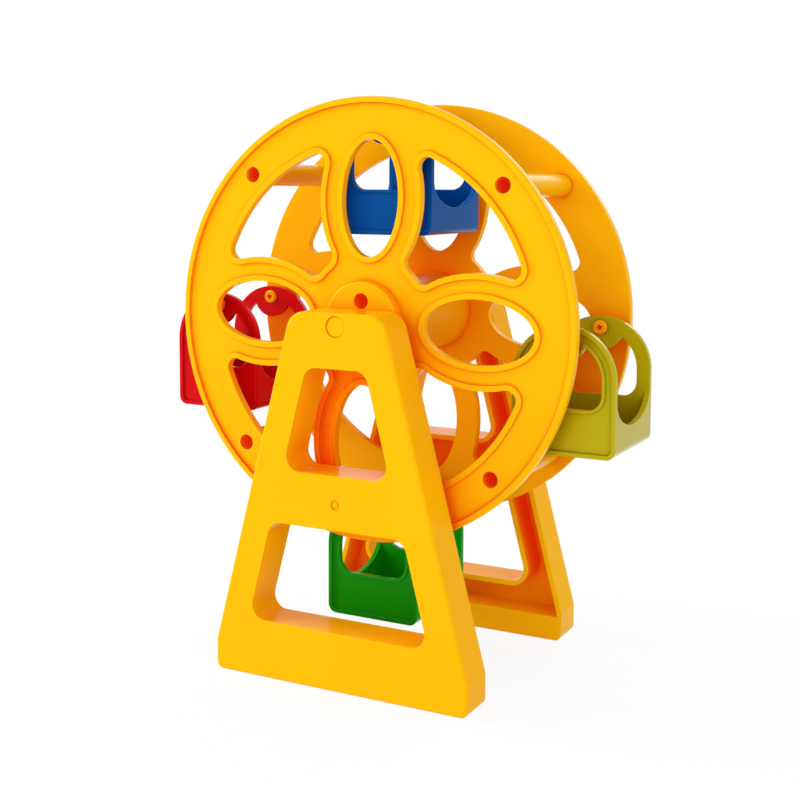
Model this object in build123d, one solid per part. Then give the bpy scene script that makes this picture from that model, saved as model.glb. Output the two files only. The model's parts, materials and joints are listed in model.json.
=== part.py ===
from build123d import *
import math
import os

# A toy Ferris wheel: two A-shaped stands, an axle, a wheel of two flower-cut discs held
# apart by a hub drum and four spacer tubes, and four gondolas that hang on hollow pins.
# Millimetres. X runs across the wheel, Y from the front stand to the rear one, Z is up.
# The origin is on the table, under the middle of the toy.

# ---------------------------------------------------------------- whole toy
axle_height = 120.5  # wheel centre above the table
overall_depth = 95.0  # over the outer faces of the two stands
wheel_turn = -2.1  # degrees that the wheel stands turned, positive is anticlockwise

# ---------------------------------------------------------------- clearances
running_clearance = 0.08  # radial, where a plastic part turns on a pin or axle
seat_gap = 0.02  # all round, where two parts are pressed or glued together
side_play = 0.4  # between a stand's axle socket and the wheel's boss

# ---------------------------------------------------------------- stands
foot_width = 95.0
foot_side_height = 10.5  # the sides rise straight this far before they lean in
stand_top_width = 34.6  # across the sharp top corners, before rounding
stand_over_axle = 4.5
stand_depth = 14.0
stand_face_wall = 2.0
stand_flange_wall = 1.8
stand_floor_flange = 4.2
leg_width = 11.0  # level width of a leg, from its outer edge to the window
lower_window_sill = 19.8
lower_window_head = 54.0
upper_window_sill = 72.0
upper_window_head = 106.8
window_radius = 5.0
stand_top_radius = 7.0
foot_corner_radius = 2.5
stand_edge_radius = 1.0
socket_wall = 1.9
socket_rib_thickness = 1.6
socket_rib_depth = 6.0
gate_height = 62.5  # the mould's gate mark, in the middle of the crossbar
gate_dish_radius = 1.7
gate_dish_depth = 0.35
gate_nub_radius = 0.8
gate_nub_rise = 0.28  # above the floor of its dish

# ---------------------------------------------------------------- axle
axle_diameter = 7.0
axle_end_recess = 0.3  # the ends stop this far inside the stands' faces
axle_end_chamfer = 0.4

# ---------------------------------------------------------------- wheel discs
wheel_diameter = 149.0
wheel_width = 55.6  # over the two raised rims
rim_height = 3.2
rim_lip_width = 2.0
rim_edge_radius = 0.5
web_thickness = 2.0
opening_lip_width = 1.9  # at its foot, on the web
opening_lip_height = 0.9
opening_lip_flank = 0.8  # height and width of its sloping outer flank
petal_centre_radius = 41.0
petal_length = 39.0
petal_width = 21.2
petal_band = 8.3  # web left between a petal and the openings beside it
corner_opening_outer_radius = 59.2
corner_opening_inner_radius = 23.5
corner_opening_radius = 3.3
petal_count = 4
hub_boss_diameter = 27.2
hub_boss_height = 6.6  # from the disc's inner face
hub_boss_edge_radius = 0.8
pitch_radius = 66.7  # circle of the gondola pins and the spacer tubes

# ---------------------------------------------------------------- spacers and hub drum
tube_diameter = 7.8
tube_bore = 5.4
seat_depth = 0.8  # how deep tubes and drum stand in the discs
drum_diameter = 28.0
drum_wall = 1.8
drum_sleeve_wall = 1.6
drum_rib_thickness = 1.6
drum_post_radius = 7.1  # distance of the drum's hollow posts from the axle
drum_post_count = 2
drum_post_turn = 90.0  # degrees from X to the first post

# ---------------------------------------------------------------- gondola pins
pin_diameter = 4.9
pin_bore = 1.8
pin_bore_depth = 6.0
pin_reach = 1.3  # past the inner side of a gondola's wall
pin_shoulder_diameter = 7.0
pin_end_chamfer = 0.4
gondola_side_gap = 0.5  # between a pin's shoulder and the gondola

# ---------------------------------------------------------------- gondolas
gondola_width = 35.0
gondola_depth = 37.0
gondola_over_pin = 4.0
gondola_under_pin = 38.0
gondola_wall = 1.8
gondola_corner_radius = 3.0
gondola_border = 1.4
gondola_panel_recess = 0.7
gondola_window_width = 25.8
gondola_window_sill = 15.2  # above the gondola's underside
gondola_window_radius = 5.0
gondola_window_lip = 1.0
gondola_lobe_radius = 7.7  # wall left round the pin, which bulges down into the window
gondola_notch_bottom = 9.1  # lowest point of the side notches above the underside
gondola_notch_round = 9.0  # height over which a notch rounds into its upright sides
gondola_colours = ("lime", "blue", "red", "green")  # anticlockwise from the right

# ---------------------------------------------------------------- worked out
stand_outer_y = overall_depth / 2
stand_inner_y = stand_outer_y - stand_depth
stand_height = axle_height + stand_over_axle
stand_lean = (foot_width - stand_top_width) / 2 / (stand_height - foot_side_height)
flange_level = stand_flange_wall * math.hypot(1, stand_lean)
axle_radius = axle_diameter / 2
disc_inner_y = wheel_width / 2 - rim_height
boss_face_y = disc_inner_y + hub_boss_height
socket_end_y = boss_face_y + side_play
gondola_arch_drop = gondola_width / 2 - gondola_over_pin
gondola_inner_y = gondola_depth / 2 - gondola_wall

facing_front = Plane(origin=(0, 0, 0), x_dir=(1, 0, 0), z_dir=(0, -1, 0))
wheel_axis = Axis((0, 0, axle_height), (0, -1, 0))


def front_to_rear(shape):
    """Turn a piece made for the front of the toy half round, to stand at the rear."""
    return shape.rotate(Axis.Z, 180)


def around(count, radius, start=0.0):
    """Places on a circle about the local origin, evenly spaced."""
    return PolarLocations(radius, count, start_angle=start)


# ---------------------------------------------------------------- stands
def stand_half_width(z, inset):
    """Half width of the stand's leaning outline at a height, less a level inset."""
    return stand_top_width / 2 + (stand_height - z) * stand_lean - inset


def leaning_window(sill, head, inset, radius):
    """A trapezium between two heights whose sides follow the legs."""
    low, high = stand_half_width(sill, inset), stand_half_width(head, inset)
    outline = Polyline((-low, sill), (low, sill), (high, head), (-high, head), close=True)
    face = make_face(outline)
    return fillet(face.vertices(), radius)


def stand_outline(inset, floor, top, top_radius, foot_radius):
    """The stand's front view: straight foot sides, leaning legs and a rounded top."""
    half_foot = foot_width / 2 - inset
    level = inset * math.hypot(1, stand_lean)
    half_top = stand_half_width(top, level)
    kink = stand_height - (half_foot + level - stand_top_width / 2) / stand_lean
    outline = Polyline(
        (-half_foot, floor), (half_foot, floor), (half_foot, kink),
        (half_top, top), (-half_top, top), (-half_foot, kink), close=True,
    )
    face = make_face(outline)
    by_height = face.vertices().group_by(Axis.Y)
    face = fillet(by_height[-1], top_radius)
    if foot_radius > 0:
        face = fillet(face.vertices().group_by(Axis.Y)[0], foot_radius)
    return face


def stand_windows(grow):
    """Both windows, grown all round for the flanges that border them."""
    level = grow * math.hypot(1, stand_lean)
    radius = window_radius + grow
    return [
        leaning_window(lower_window_sill - grow, lower_window_head + grow, leg_width - level, radius),
        leaning_window(upper_window_sill - grow, upper_window_head + grow, leg_width - level, radius),
    ]


def make_stand():
    """Front stand: a face wall with flanges round its edge and windows, open at the back."""
    face_plane = facing_front.offset(stand_outer_y)
    outline = stand_outline(0, 0, stand_height, stand_top_radius, foot_corner_radius)
    solid = extrude(face_plane * outline, -stand_depth)
    solid = fillet(solid.faces().sort_by(Axis.Y)[0].outer_wire().edges(), stand_edge_radius)
    for window in stand_windows(0):
        solid -= extrude(face_plane * window, -stand_depth)
    hollow = stand_outline(
        stand_flange_wall, stand_floor_flange, stand_height - stand_flange_wall,
        stand_top_radius - stand_flange_wall, 0,
    )
    for window in stand_windows(stand_flange_wall):
        hollow -= window
    inside_plane = facing_front.offset(stand_outer_y - stand_face_wall)
    solid -= extrude(inside_plane * hollow, stand_face_wall - stand_depth)
    solid += axle_socket()
    solid = gate_mark(solid, face_plane)
    bore = Circle(axle_radius + seat_gap)
    bore_plane = Plane(origin=(0, -stand_outer_y, axle_height), x_dir=(1, 0, 0), z_dir=(0, -1, 0))
    return solid - extrude(bore_plane * bore, socket_end_y - stand_outer_y)


def gate_mark(solid, face_plane):
    """Shallow dish with a low nub in it, where the melt entered the mould."""
    place = face_plane * Pos(0, gate_height)
    solid -= extrude(place * Circle(gate_dish_radius), -gate_dish_depth)
    nub_foot = place * Pos(0, 0, -gate_dish_depth)
    return solid + extrude(nub_foot * Circle(gate_nub_radius), gate_nub_rise)


def axle_socket():
    """Tube that carries the axle, with a rib to the flange on each side."""
    radius = axle_radius + socket_wall
    start = Plane(
        origin=(0, stand_face_wall - stand_outer_y, axle_height), x_dir=(1, 0, 0), z_dir=(0, 1, 0)
    )
    reach = stand_outer_y - stand_face_wall - socket_end_y
    tube = extrude(start * Circle(radius), reach)
    below_top = Plane(origin=(0, 0, stand_height - stand_flange_wall / 2), z_dir=(0, 0, 1))
    tube = split(tube, bisect_by=below_top, keep=Keep.BOTTOM)
    rib_half = stand_half_width(axle_height, flange_level / 2)
    ribs = Rectangle(2 * rib_half, socket_rib_thickness)
    return tube + extrude(start * ribs, socket_rib_depth)


# ---------------------------------------------------------------- axle
def make_axle():
    """Straight rod through both stands and the wheel's hub."""
    length = overall_depth - 2 * axle_end_recess
    middle = Plane(origin=(0, 0, axle_height), z_dir=(0, 1, 0))
    rod = extrude(middle * Circle(axle_radius), length / 2, both=True)
    return chamfer(rod.edges().filter_by(GeomType.CIRCLE), axle_end_chamfer)


# ---------------------------------------------------------------- wheel discs
def petal_openings(grow):
    """The oval openings that make the flower, grown all round for their lips."""
    oval = Ellipse(petal_length / 2 + grow, petal_width / 2 + grow)
    return Sketch() + [place * oval for place in around(petal_count, petal_centre_radius)]


def corner_openings(grow):
    """The curved triangles between the petals, grown all round for their lips."""
    ring = Circle(corner_opening_outer_radius + grow) - Circle(corner_opening_inner_radius - grow)
    ring -= petal_openings(petal_band - grow)
    return fillet(ring.vertices(), corner_opening_radius + grow)


def make_disc():
    """Front disc: web with raised rim and lips, hub boss, and the pins of the gondolas."""
    inner = Plane(origin=(0, -disc_inner_y, axle_height), x_dir=(1, 0, 0), z_dir=(0, -1, 0))
    web_face = inner.offset(web_thickness)
    wheel_radius = wheel_diameter / 2
    openings = petal_openings(0) + corner_openings(0)
    lips = petal_openings(opening_lip_width) + corner_openings(opening_lip_width)
    disc = extrude(inner * Circle(wheel_radius), rim_height)
    disc = fillet(disc.edges().filter_by(GeomType.CIRCLE), rim_edge_radius)
    disc -= extrude(web_face * Circle(wheel_radius - rim_lip_width), rim_height)
    for lip in extrude(web_face * lips, opening_lip_height).solids():
        disc += chamfer(lip.faces().sort_by(Axis.Y)[0].edges(), opening_lip_flank)
    boss = extrude(inner * Circle(hub_boss_diameter / 2), hub_boss_height)
    disc += fillet(boss.faces().sort_by(Axis.Y)[0].edges(), hub_boss_edge_radius)
    disc -= extrude(inner * openings, rim_height)
    for place in around(petal_count, pitch_radius):
        disc += gondola_pin(inner * place)
    disc -= extrude(inner * Circle(drum_diameter / 2 + seat_gap), seat_depth)
    disc -= extrude(inner * Circle(axle_radius + running_clearance), hub_boss_height)
    for place in spacer_places():
        disc -= extrude(inner * place * Circle(tube_diameter / 2 + seat_gap), seat_depth)
        disc -= extrude(inner * place * Circle(tube_bore / 2), rim_height)
    for place in post_places():
        disc -= extrude(inner * place * Circle(tube_bore / 2), hub_boss_height)
    return disc


def gondola_pin(place):
    """Hollow pin on the disc's inner face, with the shoulder that keeps the gondola off."""
    shoulder_length = disc_inner_y - gondola_depth / 2 - gondola_side_gap
    pin_length = disc_inner_y - gondola_inner_y + pin_reach
    pin = extrude(place * Circle(pin_diameter / 2), -pin_length)
    pin = chamfer(pin.faces().sort_by(Axis.Y)[-1].edges(), pin_end_chamfer)
    pin += extrude(place * Circle(pin_shoulder_diameter / 2), -shoulder_length)
    tip = place * Location((0, 0, -pin_length))
    return pin - extrude(tip * Circle(pin_bore / 2), pin_bore_depth)


def spacer_places():
    """Places of the spacer tubes, midway between the gondola pins."""
    return around(petal_count, pitch_radius, 180 / petal_count)


def post_places():
    """Places of the hub drum's two hollow posts, above and below the axle."""
    return around(drum_post_count, drum_post_radius, drum_post_turn)


# ---------------------------------------------------------------- hub drum and spacers
def make_drum():
    """Drum between the discs: outer tube, axle sleeve, two hollow posts and cross ribs."""
    middle = Plane(origin=(0, 0, axle_height), x_dir=(1, 0, 0), z_dir=(0, -1, 0))
    half = disc_inner_y + seat_depth - seat_gap
    outer = Circle(drum_diameter / 2) - Circle(drum_diameter / 2 - drum_wall)
    ribs = Rectangle(drum_diameter - drum_wall, drum_rib_thickness)
    ribs += Rectangle(drum_rib_thickness, drum_diameter - drum_wall)
    section = outer + ribs + Circle(axle_radius + running_clearance + drum_sleeve_wall)
    for place in post_places():
        section += place * Circle(tube_diameter / 2)
    section -= Circle(axle_radius + running_clearance)
    for place in post_places():
        section -= place * Circle(tube_bore / 2)
    return extrude(middle * section, half, both=True)


def make_spacer(place):
    """Plain tube between the two discs."""
    middle = Plane(origin=(0, 0, axle_height), x_dir=(1, 0, 0), z_dir=(0, -1, 0))
    half = disc_inner_y + seat_depth - seat_gap
    section = Circle(tube_diameter / 2) - Circle(tube_bore / 2)
    return extrude(middle * place * section, half, both=True)


# ---------------------------------------------------------------- gondolas
def arch_face(half_width, bottom, radius):
    """Front view of an arch about the gondola's springing line, with rounded lower corners."""
    height = -bottom - gondola_arch_drop
    body = Pos(0, (bottom - gondola_arch_drop) / 2) * Rectangle(2 * half_width, height)
    body = fillet(body.vertices().group_by(Axis.Y)[0], radius)
    crown = Circle(half_width) & Pos(0, half_width / 2) * Rectangle(2 * half_width, half_width)
    return body + Pos(0, -gondola_arch_drop) * crown


def gondola_window(grow):
    """Window of a gondola's wall: an arch with a lobe of wall left round the pin."""
    sill = gondola_window_sill - gondola_under_pin
    window = arch_face(gondola_window_width / 2 + grow, sill - grow, gondola_window_radius + grow)
    return window - Circle(gondola_lobe_radius - grow)


def make_gondola():
    """Open box with two arched walls, seen here with its pins' line at the origin."""
    half_width = gondola_width / 2
    outline = arch_face(half_width, -gondola_under_pin, gondola_corner_radius)
    box = extrude(facing_front * outline, gondola_depth / 2, both=True)
    hollow = arch_face(
        half_width - gondola_wall, gondola_wall - gondola_under_pin, gondola_corner_radius - gondola_wall
    )
    box -= extrude(facing_front * hollow, gondola_inner_y, both=True)
    box -= side_notch()
    box -= extrude(facing_front * gondola_window(0), gondola_depth, both=True)
    panel = arch_face(
        half_width - gondola_border,
        gondola_border - gondola_under_pin,
        gondola_corner_radius - gondola_border,
    )
    panel -= gondola_window(gondola_window_lip)
    for side in (1, -1):
        wall_face = facing_front.offset(side * gondola_depth / 2)
        box -= extrude(wall_face * panel, -side * gondola_panel_recess)
    pin_hole = Circle(pin_diameter / 2 + running_clearance)
    return box - extrude(facing_front * pin_hole, gondola_depth, both=True)


def side_notch():
    """Cut through both sides and the roof that leaves low sides with a round notch."""
    centre = gondola_notch_bottom - gondola_under_pin + gondola_notch_round
    rise = gondola_over_pin - centre + gondola_wall
    across = Plane(origin=(0, 0, 0), x_dir=(0, 1, 0), z_dir=(1, 0, 0))
    section = Pos(0, centre) * Ellipse(gondola_inner_y, gondola_notch_round)
    section += Pos(0, centre + rise / 2) * Rectangle(2 * gondola_inner_y, rise)
    return extrude(across * section, gondola_width, both=True)


# ---------------------------------------------------------------- whole toy
def build():
    """Every piece of the toy, by name, where it stands."""
    stand, disc = make_stand(), make_disc()
    pieces = {
        "front_stand": stand,
        "rear_stand": front_to_rear(stand),
        "axle": make_axle(),
        "front_disc": disc.rotate(wheel_axis, wheel_turn),
        "rear_disc": front_to_rear(disc).rotate(wheel_axis, wheel_turn),
        "hub_drum": make_drum().rotate(wheel_axis, wheel_turn),
    }
    for number, place in enumerate(spacer_places(), start=1):
        pieces[f"spacer_tube_{number}"] = make_spacer(place).rotate(wheel_axis, wheel_turn)
    gondola = make_gondola()
    for number, colour in enumerate(gondola_colours):
        angle = math.radians(number * 360 / petal_count + wheel_turn)
        x, z = pitch_radius * math.cos(angle), axle_height + pitch_radius * math.sin(angle)
        pieces[f"{colour}_gondola"] = Pos(x, 0, z) * gondola
    return pieces


os.makedirs("parts", exist_ok=True)
for name, shape in build().items():
    export_step(shape, f"parts/{name}.step")
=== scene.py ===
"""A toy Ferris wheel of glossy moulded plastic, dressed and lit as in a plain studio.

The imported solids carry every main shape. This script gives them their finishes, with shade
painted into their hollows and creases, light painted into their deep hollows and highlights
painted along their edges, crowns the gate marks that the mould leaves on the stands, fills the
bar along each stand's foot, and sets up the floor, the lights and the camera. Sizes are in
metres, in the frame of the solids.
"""

import json
import logging
import math
from dataclasses import dataclass, field, replace
from enum import Enum

import bmesh
import bpy
from mathutils import Matrix, Vector

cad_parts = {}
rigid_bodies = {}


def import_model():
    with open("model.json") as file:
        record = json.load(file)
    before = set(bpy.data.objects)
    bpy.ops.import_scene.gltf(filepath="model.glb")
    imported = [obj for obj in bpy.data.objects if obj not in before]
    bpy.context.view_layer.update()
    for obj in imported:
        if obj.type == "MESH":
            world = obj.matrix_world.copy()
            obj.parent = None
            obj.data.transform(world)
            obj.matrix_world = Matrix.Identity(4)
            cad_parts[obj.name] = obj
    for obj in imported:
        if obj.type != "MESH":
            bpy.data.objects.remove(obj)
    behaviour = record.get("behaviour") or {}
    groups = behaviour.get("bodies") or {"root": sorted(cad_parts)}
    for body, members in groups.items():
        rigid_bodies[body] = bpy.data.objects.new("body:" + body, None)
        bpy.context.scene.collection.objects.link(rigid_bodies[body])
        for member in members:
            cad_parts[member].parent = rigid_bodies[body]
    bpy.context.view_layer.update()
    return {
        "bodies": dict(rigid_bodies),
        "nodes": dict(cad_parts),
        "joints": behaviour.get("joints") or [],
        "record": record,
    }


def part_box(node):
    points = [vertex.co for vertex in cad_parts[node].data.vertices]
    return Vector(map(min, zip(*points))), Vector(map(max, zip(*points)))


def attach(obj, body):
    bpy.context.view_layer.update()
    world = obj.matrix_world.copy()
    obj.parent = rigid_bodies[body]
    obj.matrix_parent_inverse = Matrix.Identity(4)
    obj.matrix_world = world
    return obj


LOG = logging.getLogger("ferris_wheel")
MILLIMETRE = 0.001
MIX_LOW, MIX_HIGH, MIX_RESULT = 6, 7, 2  # the colour sockets of a Mix node
BLACK = (0.0, 0.0, 0.0)
WHITE = (1.0, 1.0, 1.0)

Colour = tuple[float, float, float]
Place = tuple[float, float, float]
Source = bpy.types.NodeSocket | float | Colour


class Side(Enum):
    """The toy's two ends, as the sign of Y."""

    FRONT = -1.0
    REAR = 1.0


# ------------------------------------------------------------------ finishes
@dataclass(frozen=True)
class Plastic:
    """A glossy moulded plastic.

    Attributes:
        slot: The record's material slot that takes this finish.
        name: Name of its material.
        colour: Linear colour of a clean, evenly lit face.
        drift: Linear colour that slow changes of the melt drift towards.
        painted_shade: Linear colour painted into hollows and creases as their shade.
        painted_hollow_light: Linear colour of the light painted into a deep hollow, as emission.
        edge: Linear colour of the highlight painted along a moulded edge.
        roughness: Mean roughness of the surface.
        specular_level: Strength of the plain reflection.
        mottle: How far the colour drifts, from 0 to 1.
        sheen: How strongly the skin mirrors at a glancing look, from 0 to 1.
        own_hollows: Whether only the piece's own walls count as close for the painted shade and
            light, and not the table.
    """

    slot: str
    name: str
    colour: Colour
    drift: Colour
    # Shade painted into hollows and creases: a darker, redder colour.
    painted_shade: Colour
    # Light painted into deep hollows as emission, though they are no lamp.
    painted_hollow_light: Colour
    # Highlight painted along the edges.
    edge: Colour
    roughness: float = 0.20
    specular_level: float = 0.5
    mottle: float = 0.30
    sheen: float = 0.70
    own_hollows: bool = False


# Besides its own colour and drift, each finish holds colours of painted shade, of light painted
# into hollows and of a painted edge highlight.
YELLOW = Plastic(
    slot="yellow_plastic",
    name="wheel_yellow",
    colour=(0.98, 0.50, 0.002),
    drift=(0.96, 0.44, 0.001),
    painted_shade=(0.76, 0.105, 0.001),
    painted_hollow_light=(0.18, 0.008, 0.0),
    edge=(1.0, 0.64, 0.04),
    roughness=0.32,
    specular_level=0.03,
)
STAND_YELLOW = replace(YELLOW, name="stand_yellow", own_hollows=True)
LIME = Plastic(
    slot="lime_plastic",
    name="gondola_lime",
    colour=(0.50, 0.43, 0.003),
    drift=(0.41, 0.35, 0.003),
    painted_shade=(0.26, 0.18, 0.001),
    painted_hollow_light=(0.02, 0.012, 0.0),
    edge=(0.62, 0.58, 0.03),
    specular_level=0.07,
)
BLUE = Plastic(
    slot="blue_plastic",
    name="gondola_blue",
    colour=(0.001, 0.108, 0.44),
    drift=(0.002, 0.085, 0.36),
    painted_shade=(0.001, 0.035, 0.22),
    painted_hollow_light=(0.0, 0.004, 0.03),
    edge=(0.02, 0.17, 0.50),
    specular_level=0.05,
)
RED = Plastic(
    slot="red_plastic",
    name="gondola_red",
    colour=(0.66, 0.002, 0.004),
    drift=(0.56, 0.001, 0.003),
    painted_shade=(0.42, 0.001, 0.001),
    painted_hollow_light=(0.05, 0.0, 0.0),
    edge=(0.80, 0.02, 0.02),
    specular_level=0.08,
)
GREEN = Plastic(
    slot="green_plastic",
    name="gondola_green",
    colour=(0.004, 0.40, 0.003),
    drift=(0.003, 0.34, 0.002),
    painted_shade=(0.004, 0.22, 0.003),
    painted_hollow_light=(0.0, 0.02, 0.0),
    edge=(0.04, 0.38, 0.03),
    specular_level=0.10,
)


class NodeBench:
    """A node tree, with short ways to add nodes and to wire them."""

    def __init__(self, tree: bpy.types.NodeTree) -> None:
        """Work on one tree."""
        self.tree = tree

    def add(self, kind: str, **settings: object) -> bpy.types.Node:
        """Add a node.

        Args:
            kind: Blender's name of the kind of node.
            settings: Values of the node's own properties, by name.

        Returns:
            The new node.
        """
        node = self.tree.nodes.new(kind)
        for name, value in settings.items():
            setattr(node, name, value)
        return node

    def feed(self, node: bpy.types.Node, inputs: dict[str | int, Source]) -> None:
        """Set or link a node's inputs.

        Args:
            node: The node that they belong to.
            inputs: An output to link, or else a number or colour, by name or place of the input.
        """
        for key, source in inputs.items():
            if isinstance(source, bpy.types.NodeSocket):
                self.tree.links.new(source, node.inputs[key])
            elif isinstance(source, tuple):
                node.inputs[key].default_value = (*source, 1.0)
            else:
                node.inputs[key].default_value = source

    def combine(self, operation: str, first: Source, second: Source) -> bpy.types.NodeSocket:
        """Work with two masks.

        Args:
            operation: Blender's name of what to do with them.
            first: The first mask, or a number.
            second: The second mask, or a number.

        Returns:
            The output that gives the result.
        """
        node = self.add("ShaderNodeMath", operation=operation)
        self.feed(node, {0: first, 1: second})
        return node.outputs["Value"]

    def ramp(
        self, value: Source, start: float, end: float, low: float = 0.0, high: float = 1.0
    ) -> bpy.types.NodeSocket:
        """Map a value from one range to another, and hold it there.

        Args:
            value: The value.
            start: Where the result is low.
            end: Where the result is high.
            low: Lowest result.
            high: Highest result.

        Returns:
            The output that gives the result.
        """
        node = self.add("ShaderNodeMapRange")
        limits = {"From Min": start, "From Max": end, "To Min": low, "To Max": high}
        self.feed(node, {"Value": value, **limits})
        return node.outputs["Result"]

    def mix(self, low: Source, high: Source, share: Source) -> bpy.types.NodeSocket:
        """Mix two colours.

        Args:
            low: Colour where the mask is 0.
            high: Colour where the mask is 1.
            share: The mask.

        Returns:
            The output that gives the mixed colour.
        """
        node = self.add("ShaderNodeMix", data_type="RGBA")
        self.feed(node, {"Factor": share, MIX_LOW: low, MIX_HIGH: high})
        return node.outputs[MIX_RESULT]


class EffectGroup(NodeBench):
    """A shader node group with named inputs and outputs."""

    def __init__(self, name: str, inputs: dict[str, float], outputs: dict[str, str]) -> None:
        """Start a group.

        Args:
            name: Name of the group.
            inputs: Default value of each float input, by name.
            outputs: Socket type of each output, by name.
        """
        super().__init__(bpy.data.node_groups.new(name, "ShaderNodeTree"))
        sockets = self.tree.interface
        for label, value in inputs.items():
            socket = sockets.new_socket(name=label, in_out="INPUT", socket_type="NodeSocketFloat")
            socket.default_value = value
        for label, kind in outputs.items():
            sockets.new_socket(name=label, in_out="OUTPUT", socket_type=kind)
        self.given = self.add("NodeGroupInput").outputs
        self._results = self.add("NodeGroupOutput")

    def give(self, results: dict[str, Source]) -> None:
        """Link the group's outputs, by name."""
        self.feed(self._results, results)


@dataclass
class SurfaceEffects:
    """The node groups that several finishes share, each built once.

    Attributes:
        drift_start: Noise at which the melt starts to drift.
        drift_full: Noise at which it has drifted fully.
        edge_start: How well the rounded and the flat normal agree where an edge starts.
        edge_full: How well they agree in the middle of an edge.
        edge_samples: Rays that find the edges.
        hollow: Openness at which a hollow starts, and at which it is deep.
        own_hollow: The same, where only the piece's own walls count.
        crease: Openness at which a crease starts, and at which it is closed.
        wall_samples: Rays that find close walls.
    """

    drift_start: float = 0.35
    drift_full: float = 0.70
    edge_start: float = 0.99
    edge_full: float = 0.85
    edge_samples: int = 6
    hollow: tuple[float, float] = (0.68, 0.22)
    own_hollow: tuple[float, float] = (0.74, 0.16)
    crease: tuple[float, float] = (0.82, 0.52)
    wall_samples: int = 8

    def __post_init__(self) -> None:
        """Build the groups."""
        self.melt = self._melt_group()
        self.skin = self._skin_group()
        self.edges = self._edge_group()
        self.hollows = self._hollow_group("close_walls", self.hollow, own=False)
        self.own_hollows = self._hollow_group(
            "close_walls_of_one_piece", self.own_hollow, own=True
        )

    def _melt_group(self) -> bpy.types.ShaderNodeTree:
        """Slow drift of the colour where the melt flowed, as a mask.

        Returns:
            A group with the output Drift, from 0 to 1.
        """
        group = EffectGroup("melt_drift", {"Scale": 28.0}, {"Drift": "NodeSocketFloat"})
        place = group.add("ShaderNodeTexCoord").outputs["Object"]
        noise = group.add("ShaderNodeTexNoise")
        group.feed(noise, {"Vector": place, "Scale": group.given["Scale"], "Detail": 2.0})
        group.give({"Drift": group.ramp(noise.outputs["Fac"], self.drift_start, self.drift_full)})
        return group.tree

    @staticmethod
    def _skin_group() -> bpy.types.ShaderNodeTree:
        """Height of the moulded skin: a fine grain over a slow ripple.

        Returns:
            A group with the outputs Height and Gloss, a mask that follows the grain.
        """
        group = EffectGroup(
            "moulded_skin",
            {"Grain Scale": 1400.0, "Ripple Scale": 90.0, "Ripple Share": 0.6},
            {"Height": "NodeSocketFloat", "Gloss": "NodeSocketFloat"},
        )
        place = group.add("ShaderNodeTexCoord").outputs["Object"]
        grain, ripple = group.add("ShaderNodeTexNoise"), group.add("ShaderNodeTexNoise")
        group.feed(
            grain, {"Vector": place, "Scale": group.given["Grain Scale"], "Detail": 3.0}
        )
        group.feed(
            ripple, {"Vector": place, "Scale": group.given["Ripple Scale"], "Detail": 1.0}
        )
        height = group.add("ShaderNodeMix")
        share = group.given["Ripple Share"]
        group.feed(
            height, {"Factor": share, "A": grain.outputs["Fac"], "B": ripple.outputs["Fac"]}
        )
        group.give({"Height": height.outputs["Result"], "Gloss": grain.outputs["Fac"]})
        return group.tree

    def _edge_group(self) -> bpy.types.ShaderNodeTree:
        """Softly rounded edges, and a mask of where they are.

        Returns:
            A group with the outputs Normal, rounded at edges, and Edge, a mask.
        """
        group = EffectGroup(
            "soft_edges",
            {"Radius": 0.4 * MILLIMETRE},
            {"Normal": "NodeSocketVector", "Edge": "NodeSocketFloat"},
        )
        rounded = group.add("ShaderNodeBevel", samples=self.edge_samples)
        group.feed(rounded, {"Radius": group.given["Radius"]})
        flat = group.add("ShaderNodeNewGeometry").outputs["Normal"]
        agree = group.add("ShaderNodeVectorMath", operation="DOT_PRODUCT")
        group.feed(agree, {0: rounded.outputs["Normal"], 1: flat})
        edge = group.ramp(agree.outputs["Value"], self.edge_start, self.edge_full)
        group.give({"Normal": rounded.outputs["Normal"], "Edge": edge})
        return group.tree

    def _hollow_group(
        self, name: str, hollow: tuple[float, float], own: bool
    ) -> bpy.types.ShaderNodeTree:
        """Masks of the toy's hollows and of the fine creases where its faces meet, which steer
        the shade and light painted into the colour.

        Args:
            name: Name of the group.
            hollow: Openness at which a hollow starts, and at which it is deep.
            own: Whether only the walls of the piece itself count.

        Returns:
            A group with the outputs Hollow and Crease, both from 0 on open faces to 1.
        """
        group = EffectGroup(
            name,
            {"Hollow Reach": 60.0 * MILLIMETRE, "Crease Reach": 2.2 * MILLIMETRE},
            {"Hollow": "NodeSocketFloat", "Crease": "NodeSocketFloat"},
        )
        for label, (start, full) in (("Hollow", hollow), ("Crease", self.crease)):
            openness = group.add(
                "ShaderNodeAmbientOcclusion", samples=self.wall_samples, only_local=own
            )
            group.feed(openness, {"Distance": group.given[label + " Reach"]})
            group.give({label: group.ramp(openness.outputs["AO"], start, full)})
        return group.tree


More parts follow.
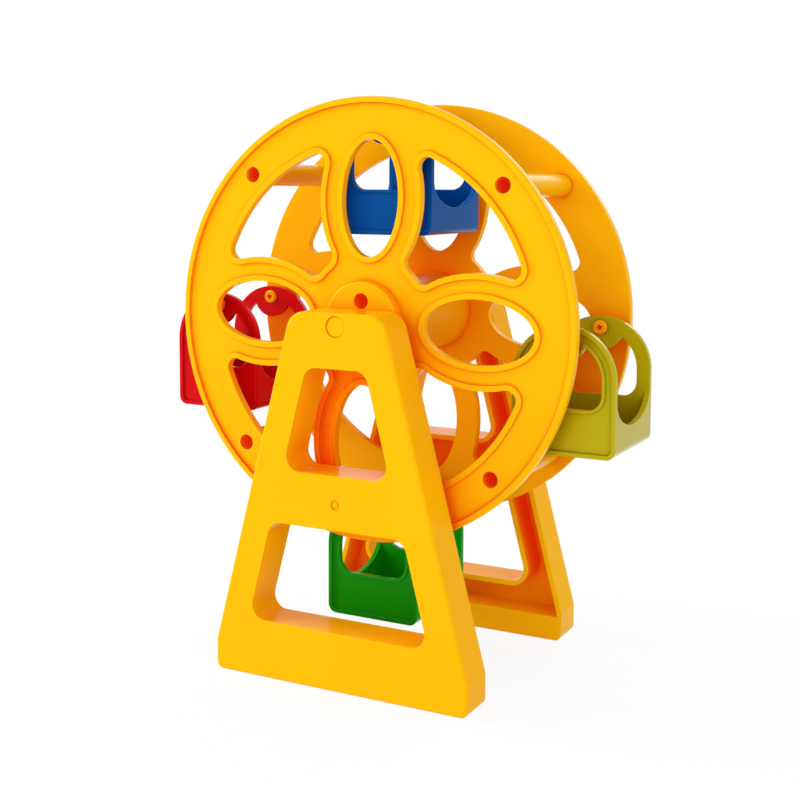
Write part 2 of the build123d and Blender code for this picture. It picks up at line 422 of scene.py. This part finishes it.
@dataclass
class PlasticWorks:
    """Makes the materials, one for each finish.

    Attributes:
        effects: The shared node groups.
        skin_depth: Height of the grain and ripple.
        edge_highlight_share: How much of the painted edge highlight shows on an edge.
        crease_shade_share: How much of the painted shade shows in a crease.
        roughness_spread: How far the grain moves the roughness.
        glance_start: How far a face turns away, from 0 to 1, before its sheen starts.
        glance_full: How far it turns away when its sheen is full.
        made: The materials so far.
    """

    effects: SurfaceEffects
    skin_depth: float = 0.012 * MILLIMETRE
    edge_highlight_share: float = 0.60
    crease_shade_share: float = 0.70
    roughness_spread: float = 0.10
    glance_start: float = 0.60
    glance_full: float = 0.90
    made: dict[Plastic, bpy.types.Material] = field(default_factory=dict)

    def material(self, finish: Plastic) -> bpy.types.Material:
        """Give the material of a finish, made at its first use.

        Args:
            finish: The plastic to make.

        Returns:
            Its material.
        """
        if finish not in self.made:
            material = bpy.data.materials.new(finish.name)
            material.use_nodes = True
            bench = NodeBench(material.node_tree)
            shader = bench.tree.nodes["Principled BSDF"]
            edges = self._place(bench, self.effects.edges)
            self._colour(bench, shader, finish, edges["Edge"])
            self._skin(bench, shader, finish, edges["Normal"])
            self.made[finish] = material
        return self.made[finish]

    def _colour(
        self,
        bench: NodeBench,
        shader: bpy.types.Node,
        finish: Plastic,
        edge: bpy.types.NodeSocket,
    ) -> None:
        """Give a plastic its drifting colour, painted shade in its hollows and creases, painted
        light in its deep hollows and painted highlights on its edges.

        Args:
            bench: The material's nodes.
            shader: The shader that they end in.
            finish: The plastic.
            edge: Mask of the edges, where a highlight is painted.
        """
        own = finish.own_hollows
        close = self._place(bench, self.effects.own_hollows if own else self.effects.hollows)
        melt = self._place(bench, self.effects.melt)
        drift = bench.combine("MULTIPLY", melt["Drift"], finish.mottle)
        body = bench.mix(finish.colour, finish.drift, drift)
        # Painted shade: the hollow and crease masks mix a darker, redder colour into the body
        # colour.
        crease = bench.combine("MULTIPLY", close["Crease"], self.crease_shade_share)
        closed = bench.combine("MAXIMUM", close["Hollow"], crease)
        with_painted_shade = bench.mix(body, finish.painted_shade, closed)
        # Painted highlight: a lighter colour is mixed in along convex edges, away from creases.
        outer_edge = bench.combine("SUBTRACT", edge, close["Crease"])
        outer_edge.node.use_clamp = True
        light = bench.combine("MULTIPLY", outer_edge, self.edge_highlight_share)
        lit = bench.mix(with_painted_shade, finish.edge, light)
        # Painted light: deep hollows emit this colour, though they are no lamp.
        painted_hollow_emission = bench.mix(BLACK, finish.painted_hollow_light, close["Hollow"])
        bench.feed(
            shader,
            {"Base Color": lit, "Emission Color": painted_hollow_emission, "Emission Strength": 1.0},
        )

    def _skin(
        self,
        bench: NodeBench,
        shader: bpy.types.Node,
        finish: Plastic,
        rounded: bpy.types.NodeSocket,
    ) -> None:
        """Give a plastic its uneven gloss, its sheen and its moulded skin.

        Args:
            bench: The material's nodes.
            shader: The shader that they end in.
            finish: The plastic.
            rounded: Normal that is rounded at the edges.
        """
        skin = self._place(bench, self.effects.skin)
        half = self.roughness_spread / 2
        least, most = finish.roughness - half, finish.roughness + half
        glance = bench.add("ShaderNodeLayerWeight").outputs["Facing"]
        sheen = bench.ramp(glance, self.glance_start, self.glance_full, high=finish.sheen)
        bump = bench.add("ShaderNodeBump")
        bench.feed(
            bump, {"Distance": self.skin_depth, "Height": skin["Height"], "Normal": rounded}
        )
        bench.feed(
            shader,
            {
                "Specular IOR Level": finish.specular_level,
                "Roughness": bench.ramp(skin["Gloss"], 0.0, 1.0, least, most),
                "Coat Weight": sheen,
                "Coat Roughness": finish.roughness / 2,
                "Normal": bump.outputs["Normal"],
            },
        )

    @staticmethod
    def _place(
        bench: NodeBench, tree: bpy.types.ShaderNodeTree
    ) -> bpy.types.bpy_prop_collection:
        """Put a group into a material, and give its outputs."""
        return bench.add("ShaderNodeGroup", node_tree=tree).outputs


# ------------------------------------------------------------------ meshes
def new_piece(name: str, shape: bmesh.types.BMesh, smooth: bool = False) -> bpy.types.Object:
    """Turn a finished shape into a piece of the scene.

    Args:
        name: Name of the new piece.
        shape: Its shape, which is used up.
        smooth: Whether its faces are shaded as one round surface.

    Returns:
        The new piece.
    """
    mesh = bpy.data.meshes.new(name)
    shape.to_mesh(mesh)
    shape.free()
    for face in mesh.polygons:
        face.use_smooth = smooth
    piece = bpy.data.objects.new(name, mesh)
    bpy.context.scene.collection.objects.link(piece)
    return piece


def lathe(name: str, profile: list[tuple[float, float]], sides: int) -> bpy.types.Object:
    """Turn a profile round the Z axis into a closed mesh.

    Args:
        name: Name of the new piece.
        profile: Pairs of radius and height, from the foot to the middle of the top.
        sides: Number of sides of each ring.

    Returns:
        The new piece.
    """
    shape = bmesh.new()
    rings = []
    for radius, height in profile[:-1]:
        ring = []
        for side in range(sides):
            angle = 2 * math.pi * side / sides
            point = (radius * math.cos(angle), radius * math.sin(angle), height)
            ring.append(shape.verts.new(point))
        rings.append(ring)
    for lower, upper in zip(rings, rings[1:]):
        for side in range(sides):
            after = (side + 1) % sides
            shape.faces.new((lower[side], lower[after], upper[after], upper[side]))
    middle = shape.verts.new((0.0, 0.0, profile[-1][1]))
    for side in range(sides):
        shape.faces.new((rings[-1][side], rings[-1][(side + 1) % sides], middle))
    shape.faces.new(tuple(reversed(rings[0])))
    return new_piece(name, shape, smooth=True)


def prism(
    name: str, profile: list[tuple[float, float]], left: float, right: float
) -> bpy.types.Object:
    """Stretch a closed profile along the X axis.

    Args:
        name: Name of the new piece.
        profile: Pairs of Y and Z round the section.
        left: X of one end.
        right: X of the other end.

    Returns:
        The new piece.
    """
    shape = bmesh.new()
    near, far = [[shape.verts.new((x, y, z)) for y, z in profile] for x in (left, right)]
    for corner in range(len(profile)):
        after = (corner + 1) % len(profile)
        shape.faces.new((near[corner], near[after], far[after], far[corner]))
    shape.faces.new(tuple(reversed(near)))
    shape.faces.new(tuple(far))
    bmesh.ops.recalc_face_normals(shape, faces=shape.faces)
    return new_piece(name, shape)


@dataclass
class GateMark:
    """The soft crown of the nub that is left where the melt entered the mould.

    Attributes:
        radius: Radius of the nub's foot.
        height: How far it stands proud.
        sink: How far its foot is set into the face.
        sides: Number of sides of its rings.
    """

    radius: float = 0.87 * MILLIMETRE
    height: float = 0.33 * MILLIMETRE
    sink: float = 0.05 * MILLIMETRE
    sides: int = 24

    def build(self, name: str, place: Vector, outward: Vector) -> bpy.types.Object:
        """Make the nub on a face.

        Args:
            name: Name of the new piece.
            place: Point of the face under the nub's middle.
            outward: Direction that the face looks in.

        Returns:
            The nub, in place.
        """
        crown = 0.72 * self.radius
        profile = [
            (self.radius, -self.sink),
            (self.radius, 0.35 * self.height),
            (0.90 * self.radius, 0.75 * self.height),
            (crown, self.height),
            (0.45 * crown, 0.97 * self.height),
            (0.0, 0.92 * self.height),
        ]
        nub = lathe(name, profile, self.sides)
        facing = outward.to_track_quat("Z", "Y").to_matrix().to_4x4()
        nub.matrix_world = Matrix.Translation(place) @ facing
        return nub


@dataclass
class FootBar:
    """The solid bar along a stand's foot, whose face is level with the flange round it.

    Attributes:
        stand_depth: From the stand's outer face to the rim of its flange.
        face_wall: Thickness of the stand's outer face.
        side_wall: Thickness of its side flanges.
        top: Height of the bar's top above the table.
        bottom: Height of its lower edge, in front of the floor flange.
        proud: How far its face covers the flange's rim.
        edge_radius: Radius of its upper edge.
        edge_steps: Number of straight steps in that radius.
    """

    stand_depth: float = 14.0 * MILLIMETRE
    face_wall: float = 2.0 * MILLIMETRE
    side_wall: float = 1.8 * MILLIMETRE
    top: float = 8.7 * MILLIMETRE
    bottom: float = 0.6 * MILLIMETRE
    proud: float = 0.05 * MILLIMETRE
    edge_radius: float = 0.6 * MILLIMETRE
    edge_steps: int = 5

    def build(self, name: str, low: Vector, high: Vector, side: Side) -> bpy.types.Object:
        """Make the bar of one stand.

        Args:
            name: Name of the new piece.
            low: Lowest corner of the stand.
            high: Highest corner of the stand.
            side: The end of the toy that the stand is at.

        Returns:
            The bar, in place.
        """
        outer = low.y if side is Side.FRONT else high.y
        face = outer - side.value * (self.stand_depth + self.proud)
        wall = outer - side.value * self.face_wall / 2
        centre_y = face + side.value * self.edge_radius
        profile = [(wall, self.bottom), (face, self.bottom)]
        for step in range(self.edge_steps + 1):
            angle = math.pi / 2 * step / self.edge_steps
            rounded_y = centre_y - side.value * self.edge_radius * math.cos(angle)
            profile.append((rounded_y, self.top - self.edge_radius * (1 - math.sin(angle))))
        profile.append((wall, self.top))
        margin = self.side_wall / 2
        return prism(name, profile, low.x + margin, high.x - margin)


# ------------------------------------------------------------------ sub-assemblies
@dataclass
class Assembly:
    """Common ways of the toy's sub-assemblies.

    Attributes:
        works: Maker of the materials.
    """

    frame: dict
    works: PlasticWorks

    def dress(self, node: str, finish: Plastic) -> None:
        """Give a solid its finish.

        Args:
            node: Name of the solid.
            finish: The plastic that it is moulded in.
        """
        piece = self.frame["nodes"][node]
        for slot in piece.material_slots:
            slot.material = self.works.material(finish)
        LOG.info("dressed %s in %s", node, finish.slot)

    def add(self, piece: bpy.types.Object, body: str, finish: Plastic) -> None:
        """Finish a new piece and let it ride on a body.

        Args:
            piece: The new piece, in place.
            body: Name of the body that carries it.
            finish: The plastic that it is moulded in.
        """
        piece.data.materials.append(self.works.material(finish))
        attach(piece, body)
        LOG.info("added %s on %s", piece.name, body)


@dataclass
class Stands(Assembly):
    """Both A-shaped stands and the axle that they hold.

    Attributes:
        gate_height: Height of the gate mark on a stand's crossbar.
        gate_dish_depth: How deep the dish round the mark is, which keeps it below the face.
        gate: The crown of the mark.
        foot_bar: The bar along a stand's foot.
    """

    gate_height: float = 62.5 * MILLIMETRE
    gate_dish_depth: float = 0.35 * MILLIMETRE
    gate: GateMark = field(default_factory=GateMark)
    foot_bar: FootBar = field(default_factory=FootBar)

    def build(self) -> None:
        """Dress the stands and the axle, and add the gate marks and foot bars."""
        for node in ("front_stand", "rear_stand", "axle"):
            self.dress(node, STAND_YELLOW)
        for node, side in (("front_stand", Side.FRONT), ("rear_stand", Side.REAR)):
            low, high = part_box(node)
            face = low.y if side is Side.FRONT else high.y
            dish_floor = face - side.value * self.gate_dish_depth
            place = Vector(((low.x + high.x) / 2, dish_floor, self.gate_height))
            mark = self.gate.build(node + "_gate_mark", place, Vector((0.0, side.value, 0.0)))
            self.add(mark, "stand", STAND_YELLOW)
            bar = self.foot_bar.build(node + "_foot_bar", low, high, side)
            self.add(bar, "stand", STAND_YELLOW)


@dataclass
class Wheel(Assembly):
    """The two flower-cut discs, the hub drum and the spacer tubes."""

    def build(self) -> None:
        """Dress every yellow piece of the wheel."""
        for node in self.frame["record"]["behaviour"]["bodies"]["wheel"]:
            self.dress(node, YELLOW)


@dataclass
class Gondolas(Assembly):
    """The four hanging gondolas."""

    def build(self) -> None:
        """Dress each gondola in its own colour."""
        colours = {"lime": LIME, "blue": BLUE, "red": RED, "green": GREEN}
        for name, finish in colours.items():
            self.dress(name + "_gondola", finish)


# ------------------------------------------------------------------ studio
@dataclass(frozen=True)
class SoftBox:
    """A square soft lamp.

    Attributes:
        name: Name of the lamp.
        place: Where it hangs.
        size: Length of its sides.
        watts: Its power.
    """

    name: str
    place: Place
    size: float
    watts: float


@dataclass
class Studio:
    """Floor, surroundings and lamps of a plain white studio.

    Attributes:
        target: Point that every lamp faces.
        floor_size: Length of the floor's sides.
        floor_drop: How far the floor lies under the toy, so that their faces don't mingle.
        floor_paint: Linear colour of the floor.
        floor_roughness: Roughness of the floor.
        surround: Strength of the light that comes from all round.
        shadow_share: How much of the floor's own shading shows under the toy.
        shadow_reach: Distance from the toy's middle at which that has faded out.
        lamps: The lamps.
    """

    target: Vector = field(default_factory=lambda: Vector((0.0, 0.0, 0.10)))
    floor_size: float = 6.0
    floor_drop: float = 0.05 * MILLIMETRE
    floor_paint: Colour = (0.92, 0.92, 0.92)
    floor_roughness: float = 0.9
    surround: float = 0.59
    shadow_share: float = 0.12
    shadow_reach: float = 0.30
    lamps: tuple[SoftBox, ...] = (
        SoftBox("left_lamp", (-1.05, -0.25, 0.60), 0.7, 11.5),
        SoftBox("right_lamp", (0.95, -0.45, 0.55), 0.6, 1.9),
        SoftBox("rear_lamp", (0.25, 0.95, 0.75), 0.7, 3.3),
        SoftBox("front_lamp", (0.15, -1.10, 0.35), 0.6, 2.5),
    )

    def build(self) -> None:
        """Make the floor, the surroundings and the lamps."""
        self._floor()
        self._surroundings()
        for lamp in self.lamps:
            self._lamp(lamp)

    def _floor(self) -> None:
        """White floor that keeps a faint shadow."""
        half = self.floor_size / 2
        mesh = bpy.data.meshes.new("floor")
        outline = [(-half, -half, 0), (half, -half, 0), (half, half, 0), (-half, half, 0)]
        mesh.from_pydata(outline, [], [(0, 1, 2, 3)])
        floor = bpy.data.objects.new("floor", mesh)
        floor.location.z = -self.floor_drop
        bpy.context.scene.collection.objects.link(floor)
        mesh.materials.append(self._floor_material())

    def _floor_material(self) -> bpy.types.Material:
        """Matt paint near the toy, which fades into plain white as it is seen.

        Returns:
            The floor's material.
        """
        paint = bpy.data.materials.new("floor_paint")
        paint.use_nodes = True
        bench = NodeBench(paint.node_tree)
        shaded = bench.tree.nodes["Principled BSDF"]
        matt = {"Roughness": self.floor_roughness, "Specular IOR Level": 0.0}
        bench.feed(shaded, {"Base Color": self.floor_paint, **matt})
        place = bench.add("ShaderNodeTexCoord").outputs["Object"]
        distance = bench.add("ShaderNodeVectorMath", operation="LENGTH")
        bench.feed(distance, {0: place})
        fade = bench.add("ShaderNodeMapRange", interpolation_type="SMOOTHSTEP")
        limits = {"From Max": self.shadow_reach, "To Min": 1.0 - self.shadow_share}
        bench.feed(fade, {"Value": distance.outputs["Value"], **limits})
        share = bench.combine("MULTIPLY", self._seen_directly(bench), fade.outputs["Result"])
        white = bench.add("ShaderNodeEmission").outputs["Emission"]
        blend = bench.add("ShaderNodeMixShader")
        bench.feed(blend, {0: share, 1: shaded.outputs["BSDF"], 2: white})
        bench.feed(bench.tree.nodes["Material Output"], {"Surface": blend.outputs["Shader"]})
        return paint

    @staticmethod
    def _seen_directly(bench: NodeBench) -> bpy.types.NodeSocket:
        """Give 1 where the camera sees it, directly, in a reflection or past something clear.

        Args:
            bench: The nodes that get the test.

        Returns:
            The test's output.
        """
        path = bench.add("ShaderNodeLightPath").outputs
        total = path["Is Camera Ray"]
        for label in ("Is Glossy Ray", "Is Transmission Ray"):
            total = bench.combine("MAXIMUM", total, path[label])
        return total

    def _surroundings(self) -> None:
        """White backdrop to the eye, and an even, weaker light on the toy."""
        world = bpy.data.worlds.new("studio_white")
        world.use_nodes = True
        bpy.context.scene.world = world
        bench = NodeBench(world.node_tree)
        strength = bench.ramp(self._seen_directly(bench), 0.0, 1.0, self.surround, 1.0)
        bench.feed(bench.tree.nodes["Background"], {"Color": WHITE, "Strength": strength})

    def _lamp(self, lamp: SoftBox) -> None:
        """Hang one lamp.

        Args:
            lamp: What to hang, and where.
        """
        light = bpy.data.lights.new(lamp.name, "AREA")
        light.shape = "SQUARE"
        light.size = lamp.size
        light.energy = lamp.watts
        holder = bpy.data.objects.new(lamp.name, light)
        holder.location = lamp.place
        away = Vector(lamp.place) - self.target
        holder.rotation_euler = away.to_track_quat("Z", "Y").to_euler()
        bpy.context.scene.collection.objects.link(holder)


@dataclass
class PhotoCamera:
    """Camera that looks from where the photograph was taken.

    Attributes:
        azimuth: Degrees to the right of straight ahead.
        elevation: Degrees above level.
        roll: Degrees that the picture is turned.
        distance: From the camera to the point that it faces.
        target: The point that it faces.
        focal_pixels: Focal length in pixels of the square picture.
        picture_pixels: Side of the picture.
        centre_rise: How far the optical centre lies above the picture's middle, in pixels.
        sensor_mm: Width of the sensor.
        nearest: Distance from which things are seen.
    """

    azimuth: float = 27.94
    elevation: float = 4.94
    roll: float = 0.17
    distance: float = 0.4610
    target: Vector = field(default_factory=lambda: Vector((-0.0016, 0.0, 0.1256)))
    focal_pixels: float = 1309.6
    picture_pixels: float = 800.0
    centre_rise: float = 100.0
    sensor_mm: float = 36.0
    nearest: float = 0.01

    def build(self) -> None:
        """Make the camera and use it."""
        turn, tilt = math.radians(self.azimuth), math.radians(self.elevation)
        reach = math.cos(tilt)
        away = Vector((math.sin(turn) * reach, -math.cos(turn) * reach, math.sin(tilt)))
        right = Vector((math.cos(turn), math.sin(turn), 0.0))
        up = away.cross(right)
        lens = bpy.data.cameras.new("photo_camera")
        lens.sensor_width = self.sensor_mm
        lens.lens = self.focal_pixels / self.picture_pixels * self.sensor_mm
        lens.shift_y = -self.centre_rise / self.picture_pixels
        lens.clip_start = self.nearest
        camera = bpy.data.objects.new("photo_camera", lens)
        place = Matrix.Translation(self.target + away * self.distance)
        facing = Matrix((right, up, away)).transposed().to_4x4()
        twist = Matrix.Rotation(math.radians(self.roll), 4, "Z")
        camera.matrix_world = place @ facing @ twist
        bpy.context.scene.collection.objects.link(camera)
        bpy.context.scene.camera = camera


def main() -> None:
    """Build the toy's looks around its solids."""
    logging.basicConfig(level=logging.INFO, format="%(name)s: %(message)s")
    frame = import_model()
    bpy.context.scene.view_settings.view_transform = "Standard"
    works = PlasticWorks(SurfaceEffects())
    for assembly in (Stands, Wheel, Gondolas):
        assembly(frame, works).build()
    Studio().build()
    PhotoCamera().build()


if __name__ == "__main__":
    main()
